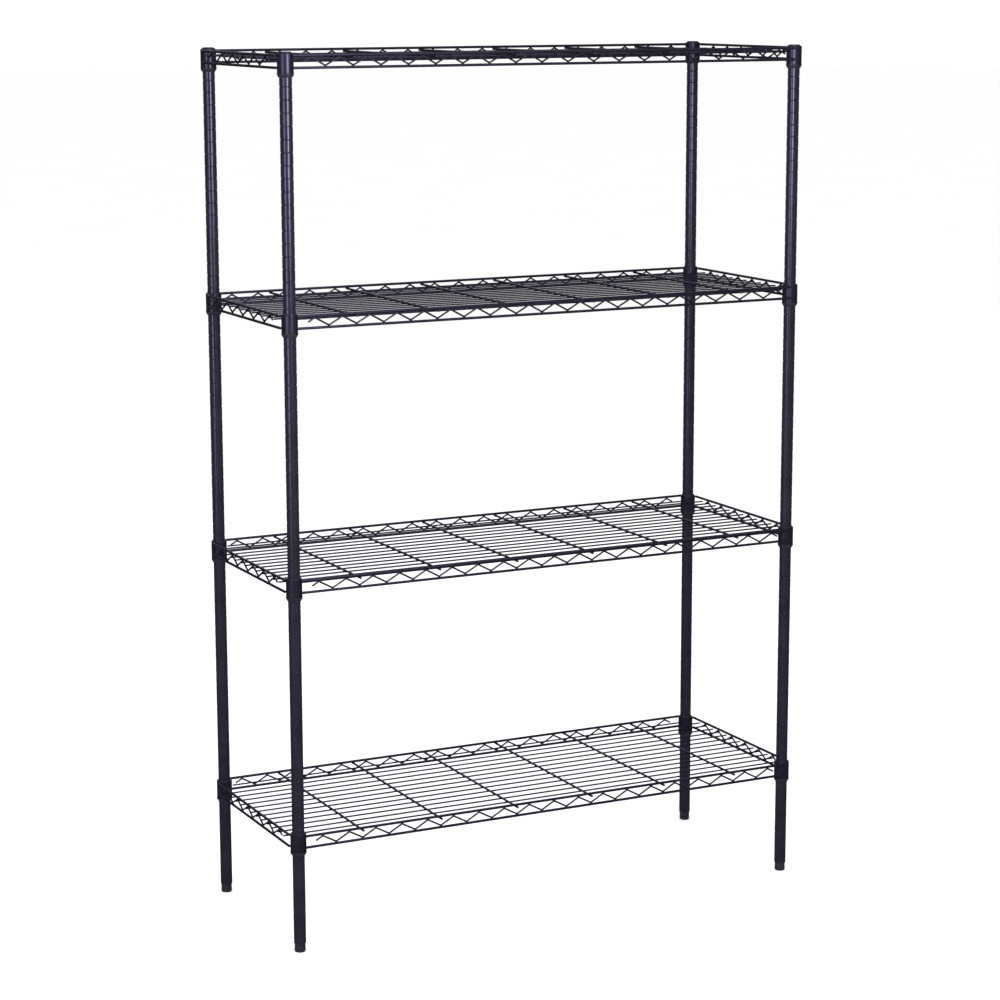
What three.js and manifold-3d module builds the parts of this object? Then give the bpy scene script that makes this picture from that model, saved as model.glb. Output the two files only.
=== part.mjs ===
// Wire shelving rack: four tube posts carry four welded wire shelves on split plastic sleeves.
// Millimetres, +Z up. The origin is on the floor under the middle of the rack, +X runs along its
// long side and -Y is its front. Shelf 1 is the top one.
import * as THREE from "three";
import { mergeVertices } from "three/addons/utils/BufferGeometryUtils.js";
import Module from "manifold-3d";

// Driving dimensions.
const GAP = 0.3; // clearance between pieces that touch
const INCH = 25.4;
const POST_SPACING_X = 1164;
const POST_SPACING_Y = 424;
const POST_RADIUS = 12.7;
const POST_WALL = 1.2;
const POST_BOTTOM = 20;
const LOWEST_SHELF = 253.6; // height of its collars' tops
const SHELF_STEPS = [21 * INCH, 21 * INCH, 20 * INCH]; // from the lowest shelf up
const ROUND_SIDES = 12;

const CAP_HEIGHT = 3.6;
const CAP_CHAMFER = 1;
const CAP_PLUG_LENGTH = 14;

const COLLAR_RADIUS = 16.5;
const COLLAR_HEIGHT = 38;
const COLLAR_BORE_TOP = 14.65;
const COLLAR_BORE_BOTTOM = 15.25;

const SLEEVE_LIP = 1.5; // stands above the collar
const SLEEVE_SKIRT = 8; // hangs below the collar
const SLEEVE_FLANGE_RADIUS = 17.2;
const SLEEVE_FOOT_RADIUS = 13.9;

const RIM_WIRE = 5.6;
const RIM_DROP = 3.6; // from the collar's top to the top rim's centre
const RIM_SPACING = 24; // from the top rim down to the bottom rim
const RIM_OFFSET = 16.6; // from a post's centre line to a rim's, so that its end bites the collar
const RIM_END_SHORT = 8; // a rim ends this far short of the post's centre line

const TRUSS_WIRE = 3.2;
const TRUSS_PITCH = 59.4;
const LONG_TRUSS_PEAKS = 19;
const SHORT_TRUSS_PEAKS = 6;
const WELD = 0.5; // how deep a truss bend sits in a rim

const CROSS_WIRE = 4.8;
const CROSS_COUNT = 6;
const CROSS_EVERY = 3; // truss pitches
const CROSS_TIP = 235; // ends stand a little outside the rims
const DECK_WIRE = 3;
const DECK_COUNT = 15;
const DECK_PITCH = 30;
const OUTER_DECK_Y = 204; // the outermost deck wires lie nearer to their neighbours

const STUD_RADIUS = 5;
const STUD_TOP = 60;
const INSERT_TOP = 44;
const INSERT_FLANGE = 1.4;
const PAD_RADIUS = 11.3;
const PAD_HEIGHT = 18;
const PAD_CHAMFER = 1.5;
const PAD_SOCKET_FLOOR = 8;

// Worked out from them.
const RIM_X = POST_SPACING_X / 2 + RIM_OFFSET;
const RIM_Y = POST_SPACING_Y / 2 + RIM_OFFSET;
const TOP_RIM_Z = -RIM_DROP; // shelf heights are measured from the collars' tops
const BOTTOM_RIM_Z = TOP_RIM_Z - RIM_SPACING;
const CROSS_Z = TOP_RIM_Z - RIM_WIRE / 2 - GAP - CROSS_WIRE / 2;
const DECK_Z = CROSS_Z - CROSS_WIRE / 2 - DECK_WIRE / 2;
const DECK_END = RIM_X - TRUSS_WIRE / 2 - GAP;
const OUTER_DECK_END = POST_SPACING_X / 2 - COLLAR_RADIUS - GAP; // stops at the collars
const SHELF_HEIGHTS = SHELF_STEPS.reduce((tops, step) => [tops[0] + step, ...tops], [LOWEST_SHELF]);
const POST_TOP = SHELF_HEIGHTS[0] - GAP;

const POSTS = [
  { name: "front_left", x: -POST_SPACING_X / 2, y: -POST_SPACING_Y / 2 },
  { name: "front_right", x: POST_SPACING_X / 2, y: -POST_SPACING_Y / 2 },
  { name: "back_left", x: -POST_SPACING_X / 2, y: POST_SPACING_Y / 2 },
  { name: "back_right", x: POST_SPACING_X / 2, y: POST_SPACING_Y / 2 },
];

const epoxy = { color: 0x26252e, roughness: 0.35, metalness: 0.2 };
const plastic = { color: 0x17171b, roughness: 0.5, metalness: 0 };
const zinc = { color: 0xa9abad, roughness: 0.35, metalness: 0.9 };

const wasm = await Module();
wasm.setup();

// A closed three.js geometry as a solid that can be joined and cut.
function solid(geometry) {
  const bare = geometry.clone();
  bare.deleteAttribute("normal");
  bare.deleteAttribute("uv");
  const merged = mergeVertices(bare, 1e-4);
  const mesh = new wasm.Mesh({
    numProp: 3,
    vertProperties: merged.attributes.position.array,
    triVerts: new Uint32Array(merged.index.array),
  });
  return new wasm.Manifold(mesh);
}

function join(geometries) {
  return geometries.map(solid).reduce((whole, piece) => whole.add(piece));
}

function geometryOf(manifold) {
  const mesh = manifold.getMesh();
  const geometry = new THREE.BufferGeometry();
  geometry.setAttribute("position", new THREE.BufferAttribute(mesh.vertProperties, mesh.numProp));
  geometry.setIndex(new THREE.BufferAttribute(mesh.triVerts, 1));
  geometry.computeVertexNormals();
  return geometry;
}

// A turned piece about Z. The profile is [radius, height] pairs, anticlockwise, and closes itself:
// on the axis where it starts and ends there, otherwise back to its first point.
function turned(profile) {
  const points = profile.map(([radius, height]) => new THREE.Vector2(radius, height));
  if (profile[0][0] > 0) points.push(points[0].clone());
  return new THREE.LatheGeometry(points, ROUND_SIDES).rotateX(Math.PI / 2);
}

// A straight hexagonal bar along X, centred on the origin. Its flats face up and down, and lie
// where the round wire's surface would.
function hexBar(length, wire) {
  const radius = wire / 2 / Math.cos(Math.PI / 6);
  const bar = new THREE.CylinderGeometry(radius, radius, length, 6, 1, false, Math.PI / 6);
  return bar.rotateZ(Math.PI / 2);
}

// The outline of a bent wire whose centre line goes through the points, each with the wire's
// half-height measured straight up.
function bentWire(centres, halfHeight, thickness) {
  const above = centres.map(([x, z]) => new THREE.Vector2(x, z + halfHeight));
  const below = centres.map(([x, z]) => new THREE.Vector2(x, z - halfHeight));
  const outline = new THREE.Shape([...below, ...above.reverse()]);
  const geometry = new THREE.ExtrudeGeometry(outline, { depth: thickness, bevelEnabled: false });
  return geometry.translate(0, 0, -thickness / 2).rotateX(Math.PI / 2);
}

// A zigzag wire along X between the two rims, welded to them at its bends. It starts and ends
// half-way down, a quarter pitch beyond its outer peaks.
function truss(peaks) {
  const top = TOP_RIM_Z - RIM_WIRE / 2 + WELD;
  const bottom = BOTTOM_RIM_Z + RIM_WIRE / 2 - WELD;
  const slope = Math.atan2(top - bottom - TRUSS_WIRE, TRUSS_PITCH / 2);
  const halfHeight = TRUSS_WIRE / 2 / Math.cos(slope);
  const middle = (top + bottom) / 2;
  const reach = (peaks * TRUSS_PITCH) / 2 - TRUSS_PITCH / 4;
  const bends = [];
  for (let i = 0; i < 2 * peaks - 1; i += 1) {
    const x = ((i - peaks + 1) * TRUSS_PITCH) / 2;
    bends.push([x, i % 2 === 0 ? top - halfHeight : bottom + halfHeight]);
  }
  return bentWire([[-reach, middle], ...bends, [reach, middle]], halfHeight, TRUSS_WIRE);
}

// One side of the frame along X: top rim, bottom rim and the truss between them.
function frameSide(spacing, peaks) {
  const length = spacing - 2 * RIM_END_SHORT;
  return [
    hexBar(length, RIM_WIRE).translate(0, 0, TOP_RIM_Z),
    hexBar(length, RIM_WIRE).translate(0, 0, BOTTOM_RIM_Z),
    truss(peaks),
  ];
}

function collar() {
  return turned([
    [COLLAR_BORE_BOTTOM, -COLLAR_HEIGHT],
    [COLLAR_RADIUS, -COLLAR_HEIGHT],
    [COLLAR_RADIUS, 0],
    [COLLAR_BORE_TOP, 0],
  ]);
}

// The welded frame: four collars, and on each side two rims and a truss on their outer faces.
function shelfFrame() {
  const pieces = POSTS.map((post) => collar().translate(post.x, post.y, 0));
  for (const side of [-1, 1]) {
    for (const piece of frameSide(POST_SPACING_X, LONG_TRUSS_PEAKS)) {
      pieces.push(piece.translate(0, side * RIM_Y, 0));
    }
    for (const piece of frameSide(POST_SPACING_Y, SHORT_TRUSS_PEAKS)) {
      pieces.push(piece.rotateZ(Math.PI / 2).translate(side * RIM_X, 0, 0));
    }
  }
  return geometryOf(join(pieces));
}

// The welded mat: deck wires along X, hung under the cross wires, which run from front to back
// under the top rims.
function shelfMat() {
  const pieces = [];
  for (let i = 0; i < CROSS_COUNT; i += 1) {
    const x = (i - (CROSS_COUNT - 1) / 2) * CROSS_EVERY * TRUSS_PITCH;
    const crossWire = new THREE.BoxGeometry(CROSS_WIRE, 2 * CROSS_TIP, CROSS_WIRE);
    pieces.push(crossWire.translate(x, 0, CROSS_Z));
  }
  for (let i = 0; i < DECK_COUNT; i += 1) {
    const step = i - (DECK_COUNT - 1) / 2;
    const outermost = i === 0 || i === DECK_COUNT - 1;
    const length = 2 * (outermost ? OUTER_DECK_END : DECK_END);
    const y = outermost ? Math.sign(step) * OUTER_DECK_Y : step * DECK_PITCH;
    pieces.push(new THREE.BoxGeometry(length, DECK_WIRE, DECK_WIRE).translate(0, y, DECK_Z));
  }
  return geometryOf(join(pieces));
}

// Half of a split sleeve, on the +Y side: a lip above the collar, a wedge inside it, and a
// flange and tapered skirt below it.
function sleeveHalf() {
  const radius = POST_RADIUS + GAP;
  const ring = turned([
    [radius, -COLLAR_HEIGHT - SLEEVE_SKIRT],
    [SLEEVE_FOOT_RADIUS, -COLLAR_HEIGHT - SLEEVE_SKIRT],
    [SLEEVE_FLANGE_RADIUS, -COLLAR_HEIGHT - GAP],
    [COLLAR_BORE_BOTTOM - GAP, -COLLAR_HEIGHT - GAP],
    [COLLAR_BORE_TOP - GAP, SLEEVE_LIP],
    [radius, SLEEVE_LIP],
  ]);
  const size = 4 * COLLAR_HEIGHT; // larger than the sleeve all round
  const half = new THREE.BoxGeometry(size, size, size).translate(0, size / 2 + GAP / 2, 0);
  return geometryOf(solid(ring).intersect(solid(half)));
}

function post() {
  return turned([
    [POST_RADIUS - POST_WALL, POST_BOTTOM],
    [POST_RADIUS, POST_BOTTOM],
    [POST_RADIUS, POST_TOP],
    [POST_RADIUS - POST_WALL, POST_TOP],
  ]);
}

function postCap() {
  const underside = POST_TOP + GAP;
  const plugRadius = POST_RADIUS - POST_WALL - GAP;
  return turned([
    [0, underside - CAP_PLUG_LENGTH],
    [plugRadius, underside - CAP_PLUG_LENGTH],
    [plugRadius, underside],
    [POST_RADIUS, underside],
    [POST_RADIUS, underside + CAP_HEIGHT - CAP_CHAMFER],
    [POST_RADIUS - CAP_CHAMFER, underside + CAP_HEIGHT],
    [0, underside + CAP_HEIGHT],
  ]);
}

function footInsert() {
  const flangeTop = POST_BOTTOM - GAP;
  const bodyRadius = POST_RADIUS - POST_WALL - GAP;
  return turned([
    [STUD_RADIUS + GAP, flangeTop - INSERT_FLANGE],
    [POST_RADIUS, flangeTop - INSERT_FLANGE],
    [POST_RADIUS, flangeTop],
    [bodyRadius, flangeTop],
    [bodyRadius, INSERT_TOP],
    [STUD_RADIUS + GAP, INSERT_TOP],
  ]);
}

function footStud() {
  return turned([
    [0, PAD_SOCKET_FLOOR + GAP],
    [STUD_RADIUS, PAD_SOCKET_FLOOR + GAP],
    [STUD_RADIUS, STUD_TOP],
    [0, STUD_TOP],
  ]);
}

function footPad() {
  return turned([
    [0, 0],
    [PAD_RADIUS - PAD_CHAMFER, 0],
    [PAD_RADIUS, PAD_CHAMFER],
    [PAD_RADIUS, PAD_HEIGHT],
    [STUD_RADIUS + GAP, PAD_HEIGHT],
    [STUD_RADIUS + GAP, PAD_SOCKET_FLOOR],
    [0, PAD_SOCKET_FLOOR],
  ]);
}

function addPiece(parent, name, geometry, finish) {
  const mesh = new THREE.Mesh(geometry, new THREE.MeshStandardMaterial(finish));
  mesh.name = name;
  parent.add(mesh);
  return mesh;
}

const rack = new THREE.Group();

for (const { name, x, y } of POSTS) {
  const upright = new THREE.Group();
  upright.position.set(x, y, 0);
  addPiece(upright, `post_${name}`, post(), epoxy);
  addPiece(upright, `post_cap_${name}`, postCap(), plastic);
  addPiece(upright, `foot_insert_${name}`, footInsert(), plastic);
  addPiece(upright, `foot_stud_${name}`, footStud(), zinc);
  addPiece(upright, `foot_pad_${name}`, footPad(), plastic);
  rack.add(upright);
}

SHELF_HEIGHTS.forEach((height, index) => {
  const level = new THREE.Group();
  level.position.z = height;
  addPiece(level, `shelf_${index + 1}_frame`, shelfFrame(), epoxy);
  addPiece(level, `shelf_${index + 1}_mat`, shelfMat(), epoxy);
  for (const { name, x, y } of POSTS) {
    const backward = addPiece(level, `sleeve_${index + 1}_${name}_back`, sleeveHalf(), plastic);
    backward.position.set(x, y, 0);
    const forward = addPiece(level, `sleeve_${index + 1}_${name}_front`, sleeveHalf(), plastic);
    forward.position.set(x, y, 0);
    forward.rotation.z = Math.PI;
  }
  rack.add(level);
});

export default rack;
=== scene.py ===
"""The looks of the wire shelving rack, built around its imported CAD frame. Metres, +Z up."""

import math

import bpy
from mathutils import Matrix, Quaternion, Vector


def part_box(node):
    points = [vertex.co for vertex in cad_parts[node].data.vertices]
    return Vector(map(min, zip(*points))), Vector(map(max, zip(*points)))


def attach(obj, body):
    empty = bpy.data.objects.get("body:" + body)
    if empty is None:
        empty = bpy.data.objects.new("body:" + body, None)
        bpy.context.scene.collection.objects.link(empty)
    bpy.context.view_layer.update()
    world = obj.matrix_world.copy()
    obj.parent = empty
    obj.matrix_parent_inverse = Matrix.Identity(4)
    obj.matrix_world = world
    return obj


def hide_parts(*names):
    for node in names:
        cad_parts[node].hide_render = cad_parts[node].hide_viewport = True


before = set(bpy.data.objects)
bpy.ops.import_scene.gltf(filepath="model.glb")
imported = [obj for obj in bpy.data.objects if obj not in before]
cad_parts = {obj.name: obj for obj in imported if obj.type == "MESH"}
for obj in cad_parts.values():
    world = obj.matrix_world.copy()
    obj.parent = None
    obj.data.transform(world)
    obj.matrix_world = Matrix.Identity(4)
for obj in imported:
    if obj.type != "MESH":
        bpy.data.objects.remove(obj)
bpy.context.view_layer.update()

# ---------------------------------------------------------------------------------------------
# Sizes, in metres. Places come from the frame's boxes.
# ---------------------------------------------------------------------------------------------
MM = 0.001
INCH = 25.4 * MM
CORNERS = ("front_left", "front_right", "back_left", "back_right")
SHELVES = (1, 2, 3, 4)

POST_RADIUS = 12.7 * MM
POST_BORE = 11.5 * MM  # its radius
GROOVE_DEPTH = 1.0 * MM
GROOVE_HALF_WIDTH = 1.25 * MM
# A groove's profile upward, as (share of the half width, share of the depth).
GROOVE_SHAPE = ((-1, 0), (-0.8, 0.5), (-0.4, 0.9), (0, 1), (0.4, 0.9), (0.8, 0.5), (1, 0))
GROOVE_BELOW_SLEEVE = 17.6 * MM  # the first groove that shows under the lowest sleeve
STRAY_GROOVE = 88 * MM  # one faint groove low on each post
STRAY_GROOVE_DEPTH = 0.3 * MM

SEAT_GAP = 0.1 * MM  # between a flange and the end of the tube it closes
CAP_PLUG_PLAY = 0.3 * MM
CAP_SHOULDER = 2.4 * MM  # how far the crown draws in
CAP_CROWN_RISE = 0.75  # the share of the cap's height that the rounding takes
CAP_FLAT = POST_RADIUS - 6 * MM  # the radius of the flat on top
INSERT_PLAY = 0.2 * MM

STUD_RADIUS = 5 * MM
STUD_SOCKET = 5.3 * MM  # the radius of the holes that take the stud
THREAD_DEPTH = 0.7 * MM
THREAD_PITCH = 1.5 * MM
THREAD_SHAPE = ((0.2, 1), (0.5, 0), (0.62, 0))  # a ridge: (share of the pitch, of the depth)

PAD_EDGE = 2.6 * MM
PAD_FLOOR = 8 * MM  # the thickness under the stud's socket
PAD_GROOVE = ((11.0, 0), (11.4, 0.5), (12.2, 0.5), (12.6, 0))  # (height, depth) in mm

COLLAR_RADIUS = 16.5 * MM
COLLAR_HEIGHT = 38 * MM
COLLAR_BORE_TOP = 14.65 * MM
COLLAR_BORE_BOTTOM = 15.25 * MM
EDGE = 0.6 * MM  # rounding of collar, sleeve, cap and foot edges

SLEEVE_PLAY = 0.12 * MM  # between the sleeve and the post
SLEEVE_COLLAR_PLAY = 0.1 * MM
SLEEVE_SEAT_GAP = 0.05 * MM
SLEEVE_FLANGE = 17.1 * MM
SLEEVE_SEAM = 0.012  # the angle at each end of a half that is left open

RIM_WIRE = 5.6 * MM
RIM_DROP = 3.6 * MM
RIM_SPACING = 24 * MM
RIM_OFFSET = 16.6 * MM  # a rim's centre line outside the posts' centres
RIM_END_SHORT = 8 * MM  # a rim ends this far inside the posts' centres, in its collar
TRUSS_WIRE = 3.8 * MM
TRUSS_PITCH = 59.4 * MM
TRUSS_BEND = 3.4 * MM
TRUSS_BITE = 0.35 * MM  # how far a truss bend sinks into a rim
TRUSS_BEND_STEPS = 5
LONG_PEAKS = 19
SHORT_PEAKS = 6
CROSS_WIRE = 4.8 * MM
CROSS_COUNT = 6
CROSS_PITCH = 3 * TRUSS_PITCH
DECK_WIRE = 3.4 * MM
DECK_COUNT = 15
DECK_PITCH = 30 * MM
OUTER_DECK_Y = 204 * MM  # the outermost deck wires lie nearer to their neighbours
DECK_TICK = 1.6 * MM  # a deck wire's end shows this far outside the side rim
DECK_COLLAR_BITE = 0.5 * MM  # how far an outermost deck wire's end sinks into a collar
WELD_BITE = 0.5 * MM  # how far crossing wires sink into each other

# Weld beads' half sizes. A truss bead is given along, across and upright to its side.
TRUSS_BEAD = (2.9 * MM, 1.75 * MM, 0.9 * MM)
DECK_BEAD = (3.2 * MM, 2.4 * MM, 1.0 * MM)
RIM_BEAD_LONG = 2.6 * MM
RIM_BEAD_THICK = 1.6 * MM
RIM_BEAD_ANGLE = math.radians(42)  # where it sits on the collar, from the collar's outer face
BEAD_SIDES = 8
BEAD_LEVELS = 4

POST_SIDES = 40
COLLAR_SIDES = 40
STUD_SIDES = 24
RIM_SIDES = 14
CROSS_SIDES = 12
WIRE_SIDES = 10
EDGE_STEPS = 6  # in a rounded edge's quarter turn
WIRE_END_ROUNDING = 0.22  # the length of a cut end's rounding, as a share of the wire's radius
WIRE_END_RADIUS = 0.74  # the radius of the cut face, as a share of the wire's radius
SUPPORT = 0.3 * MM  # how near an edge the points stand that hold the shading straight

# ---------------------------------------------------------------------------------------------
# The photo's viewpoint and light
# ---------------------------------------------------------------------------------------------
CAMERA_PLACE = (-2.5855, -5.1659, 1.958)
CAMERA_YAW, CAMERA_PITCH, CAMERA_ROLL = (math.radians(angle) for angle in (26.468, 10.751, 0.138))
CAMERA_LENS = 97.68  # mm, on a sensor 36 mm wide
CAMERA_SENSOR = 36
CAMERA_REACH = 200
FLOOR_RADIUS = 60
FLOOR_SIDES = 64
SOFTBOX_TINT = (0.86, 0.85, 1.0)
WORLD_LIGHT = 1.05
ROOM_LOW = 0.04  # what gloss sees level with the eye and overhead
ROOM_HIGH = 0.14
ROOM_LOW_Z = -0.1  # the upward part of the directions that see the one and the other
ROOM_HIGH_Z = 0.9
# The sockets of a Mix node.
MIX_FACTOR, MIX_FLOAT_A, MIX_FLOAT_B, MIX_COLOUR_A, MIX_COLOUR_B = 0, 2, 3, 6, 7
MIX_FLOAT, MIX_COLOUR = 0, 2


# ---------------------------------------------------------------------------------------------
# Mesh making
# ---------------------------------------------------------------------------------------------
class Shell:
    """The vertices and faces of one piece while it is built."""

    def __init__(self):
        self.verts = []
        self.faces = []

    def ring(self, points):
        start = len(self.verts)
        self.verts.extend(tuple(p) for p in points)
        return list(range(start, len(self.verts)))

    def band(self, low, high):
        count = len(low)
        for i in range(count):
            j = (i + 1) % count
            self.faces.append((low[i], low[j], high[j], high[i]))

    def cap(self, ring, flip=False):
        self.faces.append(tuple(reversed(ring)) if flip else tuple(ring))

    def add_object(self, name, material, sharp_angle=40):
        """Shaded smooth except over edges sharper than the angle, in degrees."""
        mesh = bpy.data.meshes.new(name)
        mesh.from_pydata(self.verts, [], self.faces)
        mesh.validate()
        mesh.update()
        mesh.shade_smooth()
        mesh.set_sharp_from_angle(angle=math.radians(sharp_angle))
        obj = bpy.data.objects.new(name, mesh)
        bpy.context.scene.collection.objects.link(obj)
        mesh.materials.append(material)
        return obj


def section(centre, across, up, radius_across, radius_up, sides):
    """The points of a wire's cross-section, anticlockwise about across x up."""
    points = []
    for i in range(sides):
        angle = 2 * math.pi * (i + 0.5) / sides
        points.append(
            centre + across * radius_across * math.cos(angle) + up * radius_up * math.sin(angle)
        )
    return points


def wire(shell, path, diameter, plane_normal, sides):
    """A round wire along a path that lies in one plane, with its cut ends slightly rounded. Its
    faces are wound to look inward, unlike those of every other shape here."""
    radius = diameter / 2
    across = Vector(plane_normal).normalized()
    path = [Vector(p) for p in path]
    rounding = WIRE_END_ROUNDING * radius
    end_radius = WIRE_END_RADIUS * radius
    rings = []
    for i, point in enumerate(path):
        first, last = i == 0, i == len(path) - 1
        before = (path[1] - point if first else point - path[i - 1]).normalized()
        after = before if last else (path[i + 1] - point).normalized()
        along = (before + after).normalized()
        up = along.cross(across).normalized()
        mitre = 1 / along.dot(after)
        if first:
            rings.append(shell.ring(section(point, across, up, end_radius, end_radius, sides)))
            point = point + along * rounding
        if last:
            point = point - along * rounding
        rings.append(shell.ring(section(point, across, up, radius, radius * mitre, sides)))
        if last:
            point = point + along * rounding
            rings.append(shell.ring(section(point, across, up, end_radius, end_radius, sides)))
    for low, high in zip(rings, rings[1:]):
        shell.band(high, low)
    shell.cap(rings[0])
    shell.cap(rings[-1], flip=True)


def rounded_path(corners, radius, steps):
    """The polyline with each inner corner replaced by an arc."""
    corners = [Vector(c) for c in corners]
    path = [corners[0]]
    for before, corner, after in zip(corners, corners[1:], corners[2:]):
        back = (before - corner).normalized()
        forth = (after - corner).normalized()
        half = back.angle(forth) / 2
        reach = radius / math.tan(half)
        centre = corner + (back + forth).normalized() * (radius / math.sin(half))
        start = (corner + back * reach - centre).normalized()
        end = (corner + forth * reach - centre).normalized()
        for step in range(steps + 1):
            path.append(centre + start.slerp(end, step / steps) * radius)
    path.append(corners[-1])
    return path


def supported(profile, closed):
    """The profile with a point just inside each end of a long stretch, which keeps its shading
    straight up to its rounded edges."""
    points = []
    pairs = list(zip(profile, profile[1:] + profile[:1]))
    for here, there in pairs if closed else pairs[:-1]:
        points.append(here)
        length = math.dist(here, there)
        if length > 4 * SUPPORT:
            for share in (SUPPORT / length, 1 - SUPPORT / length):
                points.append(tuple(a + (b - a) * share for a, b in zip(here, there)))
    return points if closed else points + [profile[-1]]


def lathe(shell, centre, profile, sides, start=0.0, sweep=2 * math.pi):
    """Turns (radius, height) points about the vertical through centre. The profile runs
    anticlockwise: up its outside. It closes on itself, or on the axis where it starts there."""
    whole = sweep >= 2 * math.pi
    on_axis = profile[0][0] == 0
    profile = [point for point in supported(profile, not on_axis) if point[0] > 0]
    columns = []
    for i in range(sides if whole else sides + 1):
        angle = start + sweep * i / sides
        cos, sin = math.cos(angle), math.sin(angle)
        ring = ((centre[0] + r * cos, centre[1] + r * sin, centre[2] + z) for r, z in profile)
        columns.append(shell.ring(ring))
    count = len(profile)
    for here, there in zip(columns, columns[1:] + columns[:1] if whole else columns[1:]):
        for j in range(count - 1 if on_axis else count):
            k = (j + 1) % count
            shell.faces.append((here[j], there[j], there[k], here[k]))
    if on_axis:
        shell.cap([column[0] for column in columns], flip=True)
        shell.cap([column[-1] for column in columns])
    elif not whole:
        shell.cap(columns[0])
        shell.cap(columns[-1], flip=True)


def blob(shell, centre, radii):
    """A flattened bead of weld."""
    rings = []
    for level in range(1, BEAD_LEVELS):
        tilt = math.pi * level / BEAD_LEVELS
        scale = math.sin(tilt)
        rings.append(
            shell.ring(
                (
                    centre[0] + radii[0] * scale * math.cos(2 * math.pi * i / BEAD_SIDES),
                    centre[1] + radii[1] * scale * math.sin(2 * math.pi * i / BEAD_SIDES),
                    centre[2] - radii[2] * math.cos(tilt),
                )
                for i in range(BEAD_SIDES)
            )
        )
    for low, high in zip(rings, rings[1:]):
        shell.band(low, high)
    bottom = shell.ring([(centre[0], centre[1], centre[2] - radii[2])])[0]
    top = shell.ring([(centre[0], centre[1], centre[2] + radii[2])])[0]
    for i in range(BEAD_SIDES):
        j = (i + 1) % BEAD_SIDES
        shell.faces.append((bottom, rings[0][j], rings[0][i]))
        shell.faces.append((top, rings[-1][i], rings[-1][j]))


# ---------------------------------------------------------------------------------------------
# Materials
# ---------------------------------------------------------------------------------------------
def new_material(name):
    material = bpy.data.materials.new(name)
    material.use_nodes = True
    tree = material.node_tree
    tree.nodes.clear()
    output = tree.nodes.new("ShaderNodeOutputMaterial")
    shader = tree.nodes.new("ShaderNodeBsdfPrincipled")
    tree.links.new(shader.outputs["BSDF"], output.inputs["Surface"])
    return material, tree, shader


def noise_node(tree, scale, detail, stretch=(1, 1, 1)):
    """3-D noise over the object's own coordinates, in features per metre."""
    coordinates = tree.nodes.new("ShaderNodeTexCoord")
    mapping = tree.nodes.new("ShaderNodeMapping")
    mapping.inputs["Scale"].default_value = stretch
    texture = tree.nodes.new("ShaderNodeTexNoise")
    texture.inputs["Scale"].default_value = scale
    texture.inputs["Detail"].default_value = detail
    tree.links.new(coordinates.outputs["Object"], mapping.inputs["Vector"])
    tree.links.new(mapping.outputs["Vector"], texture.inputs["Vector"])
    return texture.outputs["Fac"]


def remap(tree, value, low, high, to_low, to_high):
    """The value spread from low ... high over to_low ... to_high."""
    node = tree.nodes.new("ShaderNodeMapRange")
    node.inputs["From Min"].default_value = low
    node.inputs["From Max"].default_value = high
    node.inputs["To Min"].default_value = to_low
    node.inputs["To Max"].default_value = to_high
    tree.links.new(value, node.inputs["Value"])
    return node.outputs["Result"]


def ramp(tree, value, stops):
    """A colour that goes with the value between two stops of (position, colour)."""
    node = tree.nodes.new("ShaderNodeValToRGB")
    for element, (position, colour) in zip(node.color_ramp.elements, stops):
        element.position, element.color = position, (*colour, 1)
    tree.links.new(value, node.inputs["Fac"])
    return node.outputs["Color"]


def bump(tree, shader, heights, distance, strength):
    node = tree.nodes.new("ShaderNodeBump")
    node.inputs["Distance"].default_value = distance
    node.inputs["Strength"].default_value = strength
    tree.links.new(heights, node.inputs["Height"])
    tree.links.new(node.outputs["Normal"], shader.inputs["Normal"])


def epoxy(name, dark, light, rough_low, rough_high):
    """Semi-gloss powder coat: orange peel, slow changes of gloss, and a faint violet cast."""
    material, tree, shader = new_material(name)
    cloud = noise_node(tree, scale=22, detail=3.0)
    tree.links.new(ramp(tree, cloud, [(0.3, dark), (0.72, light)]), shader.inputs["Base Color"])
    gloss = noise_node(tree, scale=60, detail=4.0, stretch=(1, 1, 0.35))
    tree.links.new(remap(tree, gloss, 0.3, 0.7, rough_low, rough_high), shader.inputs["Roughness"])
    peel = noise_node(tree, scale=900, detail=2.0)
    bump(tree, shader, peel, distance=0.12 * MM, strength=0.35)
    shader.inputs["IOR"].default_value = 1.5
    shader.inputs["Specular Tint"].default_value = (0.74, 0.70, 1.0, 1)
    return material


def plastic(name, dark, light, rough):
    """Injection-moulded black plastic with a fine even grain."""
    material, tree, shader = new_material(name)
    cloud = noise_node(tree, scale=40, detail=2.0)
    tree.links.new(ramp(tree, cloud, [(0.3, dark), (0.7, light)]), shader.inputs["Base Color"])
    wear = noise_node(tree, scale=140, detail=3.0)
    roughness = remap(tree, wear, 0.35, 0.7, rough - 0.05, rough + 0.08)
    tree.links.new(roughness, shader.inputs["Roughness"])
    grain = noise_node(tree, scale=2200, detail=1.0)
    bump(tree, shader, grain, distance=0.06 * MM, strength=0.4)
    shader.inputs["IOR"].default_value = 1.5
    shader.inputs["Specular Tint"].default_value = (0.80, 0.77, 1.0, 1)
    return material


def zinc_steel(name):
    """Plated steel, cloudy in colour and gloss."""
    material, tree, shader = new_material(name)
    cloud = noise_node(tree, scale=300, detail=3.0)
    colours = [(0.3, (0.42, 0.43, 0.44)), (0.7, (0.62, 0.62, 0.6))]
    tree.links.new(ramp(tree, cloud, colours), shader.inputs["Base Color"])
    tree.links.new(remap(tree, cloud, 0.3, 0.7, 0.28, 0.45), shader.inputs["Roughness"])
    grain = noise_node(tree, scale=1500, detail=2.0)
    bump(tree, shader, grain, distance=0.05 * MM, strength=0.3)
    shader.inputs["Metallic"].default_value = 1.0
    return material


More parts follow.
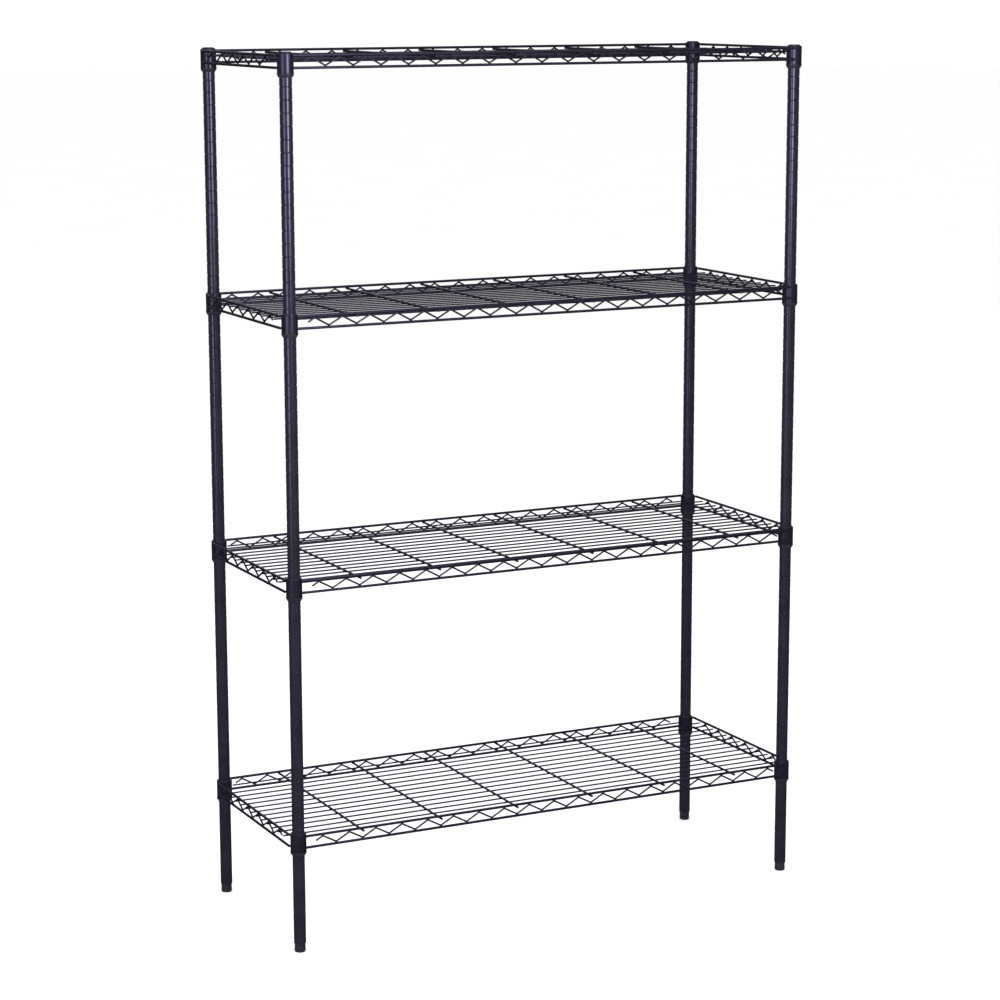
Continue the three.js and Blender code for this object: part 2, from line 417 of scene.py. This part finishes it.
def studio_floor(name):
    """Matt white paint."""
    material, tree, shader = new_material(name)
    cloud = noise_node(tree, scale=1.5, detail=2.0)
    whites = [(0.3, (0.975, 0.975, 0.975)), (0.7, (0.99, 0.99, 0.99))]
    tree.links.new(ramp(tree, cloud, whites), shader.inputs["Base Color"])
    shader.inputs["Roughness"].default_value = 0.9
    shader.inputs["Specular IOR Level"].default_value = 0.1
    return material


# Each takes its darkest and lightest colour, then its roughness.
POST_EPOXY = epoxy("post_epoxy", (0.011, 0.0105, 0.0145), (0.016, 0.015, 0.022), 0.21, 0.28)
SHELF_EPOXY = epoxy("shelf_epoxy", (0.006, 0.0058, 0.009), (0.010, 0.0095, 0.015), 0.28, 0.38)
SLEEVE_PLASTIC = plastic("sleeve_plastic", (0.014, 0.014, 0.018), (0.020, 0.020, 0.026), 0.38)
CAP_PLASTIC = plastic("cap_plastic", (0.016, 0.016, 0.020), (0.022, 0.022, 0.028), 0.40)
FOOT_PLASTIC = plastic("foot_plastic", (0.014, 0.014, 0.018), (0.022, 0.022, 0.026), 0.46)
ZINC_STEEL = zinc_steel("zinc_steel")


def finish_piece(obj, body, slot, *nodes):
    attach(obj, body)
    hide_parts(*nodes)


# ---------------------------------------------------------------------------------------------
# Uprights: posts, caps, inserts, studs and pads
# ---------------------------------------------------------------------------------------------
def centre_of(node):
    low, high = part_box(node)
    return (low.x + high.x) / 2, (low.y + high.y) / 2


def grooves(high):
    """Every groove of a post that ends at the height high, as (height, depth)."""
    lowest_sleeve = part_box("sleeve_4_front_left_front")[0].z
    first = lowest_sleeve - GROOVE_BELOW_SLEEVE
    count = int((high - first - GROOVE_HALF_WIDTH) / INCH) + 1
    ladder = [(first + i * INCH, GROOVE_DEPTH) for i in range(count)]
    return [(STRAY_GROOVE, STRAY_GROOVE_DEPTH)] + ladder


def make_post(corner):
    """The tube with its grooves."""
    node = f"post_{corner}"
    low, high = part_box(node)
    outside = [(POST_RADIUS - EDGE / 2, low.z), (POST_RADIUS, low.z + EDGE / 2)]
    for height, depth in grooves(high.z):
        for offset, share in GROOVE_SHAPE:
            outside.append((POST_RADIUS - depth * share, height + offset * GROOVE_HALF_WIDTH))
    outside += [(POST_RADIUS, high.z - EDGE / 2), (POST_RADIUS - EDGE / 2, high.z)]
    inside = [(POST_BORE, high.z), (POST_BORE, low.z)]
    shell = Shell()
    lathe(shell, (*centre_of(node), 0), outside + inside, POST_SIDES)
    obj = shell.add_object(f"tube_{corner}", POST_EPOXY, sharp_angle=50)
    finish_piece(obj, "root", "post_epoxy", node)


def make_cap(corner):
    """The post's cap: a plug in the tube and a domed crown on its end."""
    node = f"post_cap_{corner}"
    low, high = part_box(node)
    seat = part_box(f"post_{corner}")[1].z + SEAT_GAP
    plug = POST_BORE - CAP_PLUG_PLAY
    profile = [(0, low.z), (plug - EDGE, low.z), (plug, low.z + EDGE), (plug, seat)]
    profile.append((POST_RADIUS, seat))
    rise = (high.z - seat) * CAP_CROWN_RISE
    for step in range(EDGE_STEPS + 1):
        angle = math.pi / 2 * step / EDGE_STEPS
        radius = POST_RADIUS - CAP_SHOULDER * (1 - math.cos(angle))
        profile.append((radius, high.z - rise * (1 - math.sin(angle))))
    profile += [(CAP_FLAT, high.z), (0, high.z)]
    shell = Shell()
    lathe(shell, (*centre_of(node), 0), profile, COLLAR_SIDES)
    finish_piece(shell.add_object(f"cap_{corner}", CAP_PLASTIC), "root", "cap_plastic", node)


def make_insert(corner):
    """The bush in the post's lower end that the stud screws into."""
    node = f"foot_insert_{corner}"
    low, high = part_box(node)
    bore, body, flange = STUD_SOCKET, POST_BORE - INSERT_PLAY, POST_RADIUS
    flange_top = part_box(f"post_{corner}")[0].z - SEAT_GAP
    profile = [
        (bore, low.z),
        (flange - EDGE, low.z),
        (flange, low.z + EDGE),
        (flange, flange_top),
        (body, flange_top),
        (body, high.z - EDGE),
        (body - EDGE, high.z),
        (bore, high.z),
    ]
    shell = Shell()
    lathe(shell, (*centre_of(node), 0), profile, COLLAR_SIDES)
    finish_piece(shell.add_object(f"insert_{corner}", FOOT_PLASTIC), "root", "foot_plastic", node)


def make_stud(corner):
    """The threaded rod, its thread as rounded ridges at the thread's pitch."""
    node = f"foot_stud_{corner}"
    low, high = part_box(node)
    root, pitch = STUD_RADIUS - THREAD_DEPTH, THREAD_PITCH
    profile = [(0, low.z), (root, low.z), (root, low.z + pitch)]
    turns = int((high.z - low.z - 2 * pitch) / pitch)
    for turn in range(turns):
        height = low.z + pitch * (turn + 1)
        for rise, inward in THREAD_SHAPE:
            profile.append((STUD_RADIUS - THREAD_DEPTH * inward, height + rise * pitch))
    profile += [(root, high.z - 0.4 * pitch), (root - EDGE / 2, high.z), (0, high.z)]
    shell = Shell()
    lathe(shell, (*centre_of(node), 0), profile, STUD_SIDES)
    obj = shell.add_object(f"stud_{corner}", ZINC_STEEL, sharp_angle=30)
    finish_piece(obj, f"stud_{corner}", "zinc_steel", node)


def make_pad(corner):
    """The foot pad: a round-edged puck with a shallow groove and a socket for the stud."""
    node = f"foot_pad_{corner}"
    low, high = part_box(node)
    radius = (high.x - low.x) / 2
    profile = [(0, 0)]
    for step in range(EDGE_STEPS + 1):
        angle = math.pi / 2 * (step / EDGE_STEPS - 1)
        across, up = PAD_EDGE * math.cos(angle), PAD_EDGE * math.sin(angle)
        profile.append((radius - PAD_EDGE + across, PAD_EDGE + up))
    profile += [(radius - depth * MM, height * MM) for height, depth in PAD_GROOVE]
    profile += [
        (radius, high.z - EDGE),
        (radius - EDGE, high.z),
        (STUD_SOCKET, high.z),
        (STUD_SOCKET, PAD_FLOOR),
        (0, PAD_FLOOR),
    ]
    shell = Shell()
    lathe(shell, (*centre_of(node), 0), profile, COLLAR_SIDES)
    obj = shell.add_object(f"pad_{corner}", FOOT_PLASTIC)
    finish_piece(obj, f"pad_{corner}", "foot_plastic", node)


# ---------------------------------------------------------------------------------------------
# Split sleeves
# ---------------------------------------------------------------------------------------------
def make_sleeve_half(shelf, corner, side):
    """One half of a sleeve: a lip above the collar, a wedge in it, a flange and a skirt below."""
    node = f"sleeve_{shelf}_{corner}_{side}"
    low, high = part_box(node)
    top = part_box(f"shelf_{shelf}_frame")[1].z
    seat = top - COLLAR_HEIGHT - SLEEVE_SEAT_GAP
    inside = POST_RADIUS + SLEEVE_PLAY
    profile = [
        (inside, low.z),
        (13.7 * MM, low.z),
        (14.2 * MM, low.z + 0.35 * MM),
        (16.5 * MM, seat - 3.0 * MM),
        (16.95 * MM, seat - 2.2 * MM),
        (SLEEVE_FLANGE, seat - 1.4 * MM),
        (SLEEVE_FLANGE, seat - 0.35 * MM),
        (SLEEVE_FLANGE - 0.35 * MM, seat),
        (COLLAR_BORE_BOTTOM - SLEEVE_COLLAR_PLAY, seat),
        (COLLAR_BORE_TOP - SLEEVE_COLLAR_PLAY, top - EDGE),
        (COLLAR_BORE_TOP + 0.25 * MM, top + 0.15 * MM),
        (COLLAR_BORE_TOP + 0.35 * MM, top + 0.7 * MM),
        (COLLAR_BORE_TOP, high.z - 0.25 * MM),
        (COLLAR_BORE_TOP - 0.5 * MM, high.z),
        (inside + 0.3 * MM, high.z),
        (inside, high.z - 0.3 * MM),
    ]
    axis = (*centre_of(f"post_{corner}"), 0)
    start = SLEEVE_SEAM if side == "back" else math.pi + SLEEVE_SEAM
    shell = Shell()
    lathe(shell, axis, profile, COLLAR_SIDES // 2, start, math.pi - 2 * SLEEVE_SEAM)
    name = f"split_sleeve_{shelf}_{corner}_{side}"
    obj = shell.add_object(name, SLEEVE_PLASTIC, sharp_angle=35)
    finish_piece(obj, "root", "sleeve_plastic", node)


# ---------------------------------------------------------------------------------------------
# Shelves
# ---------------------------------------------------------------------------------------------
def collar_profile(top):
    """The corner collar: a ring with a tapered bore and eased edges."""
    bottom = top - COLLAR_HEIGHT
    return [
        (COLLAR_BORE_BOTTOM, bottom),
        (COLLAR_RADIUS - EDGE, bottom),
        (COLLAR_RADIUS, bottom + EDGE),
        (COLLAR_RADIUS, top - EDGE),
        (COLLAR_RADIUS - 0.2 * MM, top - 0.2 * MM),
        (COLLAR_RADIUS - EDGE, top),
        (COLLAR_BORE_TOP, top),
    ]


def truss_path(peaks, top_rim_z):
    """The zigzag's corners in its own plane, as (along, height)."""
    high = top_rim_z - RIM_WIRE / 2 - TRUSS_WIRE / 2 + TRUSS_BITE
    low = top_rim_z - RIM_SPACING + RIM_WIRE / 2 + TRUSS_WIRE / 2 - TRUSS_BITE
    slope = math.atan2(high - low, TRUSS_PITCH / 2)
    overshoot = TRUSS_BEND * (1 / math.cos(slope) - 1)  # a corner stands outside its own bend
    reach = peaks * TRUSS_PITCH / 2 - TRUSS_PITCH / 4
    corners = [(-reach, (high + low) / 2)]
    for i in range(2 * peaks - 1):
        along = (i - peaks + 1) * TRUSS_PITCH / 2
        corners.append((along, high + overshoot if i % 2 == 0 else low - overshoot))
    corners.append((reach, (high + low) / 2))
    return corners


def add_side(shell, place, half_length, peaks, rim_z):
    """Two rims, the truss between them and its welds. place(along, height) gives the point."""
    normal = (place(1, 0) - place(0, 0)).cross(place(0, 1) - place(0, 0)).normalized()
    for height in (rim_z, rim_z - RIM_SPACING):
        ends = [place(-half_length, height), place(half_length, height)]
        wire(shell, ends, RIM_WIRE, normal, RIM_SIDES)
    corners = truss_path(peaks, rim_z)
    path = rounded_path([place(*corner) for corner in corners], TRUSS_BEND, TRUSS_BEND_STEPS)
    wire(shell, path, TRUSS_WIRE, normal, WIRE_SIDES)
    length, width, rise = TRUSS_BEAD
    runs_along_x = abs((place(1, 0) - place(0, 0)).x) > 0
    bead = (length, width, rise) if runs_along_x else (width, length, rise)
    for i, (along, _) in enumerate(corners[1:-1]):
        height = rim_z - RIM_WIRE / 2 if i % 2 == 0 else rim_z - RIM_SPACING + RIM_WIRE / 2
        blob(shell, place(along, height), bead)


def make_frame(shelf):
    """A shelf's welded frame: collars, rims, trusses and their beads."""
    node = f"shelf_{shelf}_frame"
    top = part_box(node)[1].z
    rim_z = top - RIM_DROP
    post_x, post_y = centre_of("post_back_right")
    rim_x, rim_y = post_x + RIM_OFFSET, post_y + RIM_OFFSET
    half_x, half_y = post_x - RIM_END_SHORT, post_y - RIM_END_SHORT
    shell = Shell()
    for corner in CORNERS:
        lathe(shell, (*centre_of(f"post_{corner}"), 0), collar_profile(top), COLLAR_SIDES)
    for side in (-1, 1):
        add_side(shell, lambda s, z: Vector((s, side * rim_y, z)), half_x, LONG_PEAKS, rim_z)
        add_side(shell, lambda s, z: Vector((side * rim_x, s, z)), half_y, SHORT_PEAKS, rim_z)
        for end in (-1, 1):
            for height in (rim_z, rim_z - RIM_SPACING):
                add_rim_welds(shell, side, end, post_x, post_y, height)
    obj = shell.add_object(f"frame_{shelf}", SHELF_EPOXY, sharp_angle=45)
    finish_piece(obj, f"shelf_{shelf}", "shelf_epoxy", node)


def add_rim_welds(shell, side, end, post_x, post_y, height):
    """The weld beads where a rim's end meets its collar, one on each outer face."""
    reach = COLLAR_RADIUS * math.cos(RIM_BEAD_ANGLE)
    inward = COLLAR_RADIUS * math.sin(RIM_BEAD_ANGLE)
    long, thick = RIM_BEAD_LONG, RIM_BEAD_THICK
    blob(shell, (end * (post_x - inward), side * (post_y + reach), height), (long, thick, long))
    blob(shell, (side * (post_x + reach), end * (post_y - inward), height), (thick, long, long))


def make_mat(shelf):
    """A shelf's grid: deck wires welded under the cross wires."""
    node = f"shelf_{shelf}_mat"
    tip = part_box(node)[1].y
    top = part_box(f"shelf_{shelf}_frame")[1].z
    cross_z = top - RIM_DROP - RIM_WIRE / 2 - CROSS_WIRE / 2 + WELD_BITE
    deck_z = cross_z - CROSS_WIRE / 2 - DECK_WIRE / 2 + WELD_BITE
    shell = Shell()
    cross_x = [(i - (CROSS_COUNT - 1) / 2) * CROSS_PITCH for i in range(CROSS_COUNT)]
    for x in cross_x:
        wire(shell, [(x, -tip, cross_z), (x, tip, cross_z)], CROSS_WIRE, (0, 0, 1), CROSS_SIDES)
    post_x = centre_of("post_back_right")[0]
    collar_end = post_x - COLLAR_RADIUS + DECK_COLLAR_BITE
    rim_end = post_x + RIM_OFFSET + RIM_WIRE / 2 + DECK_TICK
    for i in range(DECK_COUNT):
        step = i - (DECK_COUNT - 1) / 2
        outermost = i in (0, DECK_COUNT - 1)
        y = math.copysign(OUTER_DECK_Y, step) if outermost else step * DECK_PITCH
        end = collar_end if outermost else rim_end
        wire(shell, [(-end, y, deck_z), (end, y, deck_z)], DECK_WIRE, (0, 0, 1), WIRE_SIDES)
        for x in cross_x:
            blob(shell, (x, y, deck_z + DECK_WIRE / 2), DECK_BEAD)
    obj = shell.add_object(f"mat_{shelf}", SHELF_EPOXY, sharp_angle=45)
    finish_piece(obj, f"shelf_{shelf}", "shelf_epoxy", node)


for corner in CORNERS:
    make_post(corner)
    make_cap(corner)
    make_insert(corner)
    make_stud(corner)
    make_pad(corner)
for shelf in SHELVES:
    make_frame(shelf)
    make_mat(shelf)
    for corner in CORNERS:
        for side in ("front", "back"):
            make_sleeve_half(shelf, corner, side)


# ---------------------------------------------------------------------------------------------
# Studio
# ---------------------------------------------------------------------------------------------
def make_floor():
    shell = Shell()
    angles = [2 * math.pi * i / FLOOR_SIDES for i in range(FLOOR_SIDES)]
    shell.cap(
        shell.ring((FLOOR_RADIUS * math.cos(a), FLOOR_RADIUS * math.sin(a), 0) for a in angles)
    )
    floor = shell.add_object("studio_floor", studio_floor("studio_floor"))
    floor.visible_glossy = False


def area_light(name, place, target, size, power):
    """A softbox that the camera does not see, its width and height in size."""
    lamp = bpy.data.lights.new(name, "AREA")
    lamp.shape = "RECTANGLE"
    lamp.size, lamp.size_y = size
    lamp.energy = power
    lamp.color = SOFTBOX_TINT
    obj = bpy.data.objects.new(name, lamp)
    bpy.context.scene.collection.objects.link(obj)
    obj.location = place
    obj.rotation_euler = (Vector(target) - Vector(place)).to_track_quat("-Z", "Y").to_euler()
    obj.visible_camera = False


def make_camera():
    camera = bpy.data.cameras.new("camera")
    camera.lens = CAMERA_LENS
    camera.sensor_width = CAMERA_SENSOR
    camera.clip_end = CAMERA_REACH
    obj = bpy.data.objects.new("camera", camera)
    bpy.context.scene.collection.objects.link(obj)
    obj.location = CAMERA_PLACE
    level = math.cos(CAMERA_PITCH)
    forward = Vector(
        (math.sin(CAMERA_YAW) * level, math.cos(CAMERA_YAW) * level, -math.sin(CAMERA_PITCH))
    )
    obj.rotation_mode = "QUATERNION"
    obj.rotation_quaternion = Quaternion(forward, CAMERA_ROLL) @ forward.to_track_quat("-Z", "Y")
    bpy.context.scene.camera = obj


def make_world():
    """White to the eye and for soft light; gloss sees a dim room that brightens upward."""
    world = bpy.data.worlds.new("studio")
    world.use_nodes = True
    tree = world.node_tree
    background = tree.nodes["Background"]
    coordinates = tree.nodes.new("ShaderNodeTexCoord")
    split = tree.nodes.new("ShaderNodeSeparateXYZ")
    tree.links.new(coordinates.outputs["Generated"], split.inputs["Vector"])
    room = remap(tree, split.outputs["Z"], ROOM_LOW_Z, ROOM_HIGH_Z, ROOM_LOW, ROOM_HIGH)
    rays = tree.nodes.new("ShaderNodeLightPath")
    mix = tree.nodes.new("ShaderNodeMix")
    mix.data_type = "FLOAT"
    mix.inputs[MIX_FLOAT_A].default_value = WORLD_LIGHT
    tree.links.new(rays.outputs["Is Glossy Ray"], mix.inputs[MIX_FACTOR])
    tree.links.new(room, mix.inputs[MIX_FLOAT_B])
    tint = tree.nodes.new("ShaderNodeMix")
    tint.data_type = "RGBA"
    tint.inputs[MIX_COLOUR_A].default_value = (1, 1, 1, 1)
    tint.inputs[MIX_COLOUR_B].default_value = (*SOFTBOX_TINT, 1)
    tree.links.new(rays.outputs["Is Glossy Ray"], tint.inputs[MIX_FACTOR])
    tree.links.new(tint.outputs[MIX_COLOUR], background.inputs["Color"])
    tree.links.new(mix.outputs[MIX_FLOAT], background.inputs["Strength"])
    world.cycles.sampling_method = "NONE"
    bpy.context.scene.world = world
    bpy.context.scene.view_settings.view_transform = "Standard"


make_floor()
make_world()
# The key stands in front of the upper half, a little left of the middle, and leaves a bright line
# down each post that fades out below the second shelf.
area_light("key_softbox", (-0.29, -1.88, 1.95), (-0.29, 0, 1.95), (0.45, 1.2), power=44)
# A taller, dimmer one stands out to the left and leaves a second line beside it.
area_light("side_softbox", (-3.1, -1.8, 1.45), (0, 0, 1.45), (0.9, 1.9), power=42)
# The glow from behind and above skims along the shelves.
area_light("back_softbox", (1.2, 4.2, 2.4), (0, 0, 1.3), (4.5, 2.0), power=28)
area_light("top_softbox", (0, -0.4, 4.0), (0, 0, 1.0), (2.5, 1.6), power=16)
make_camera()
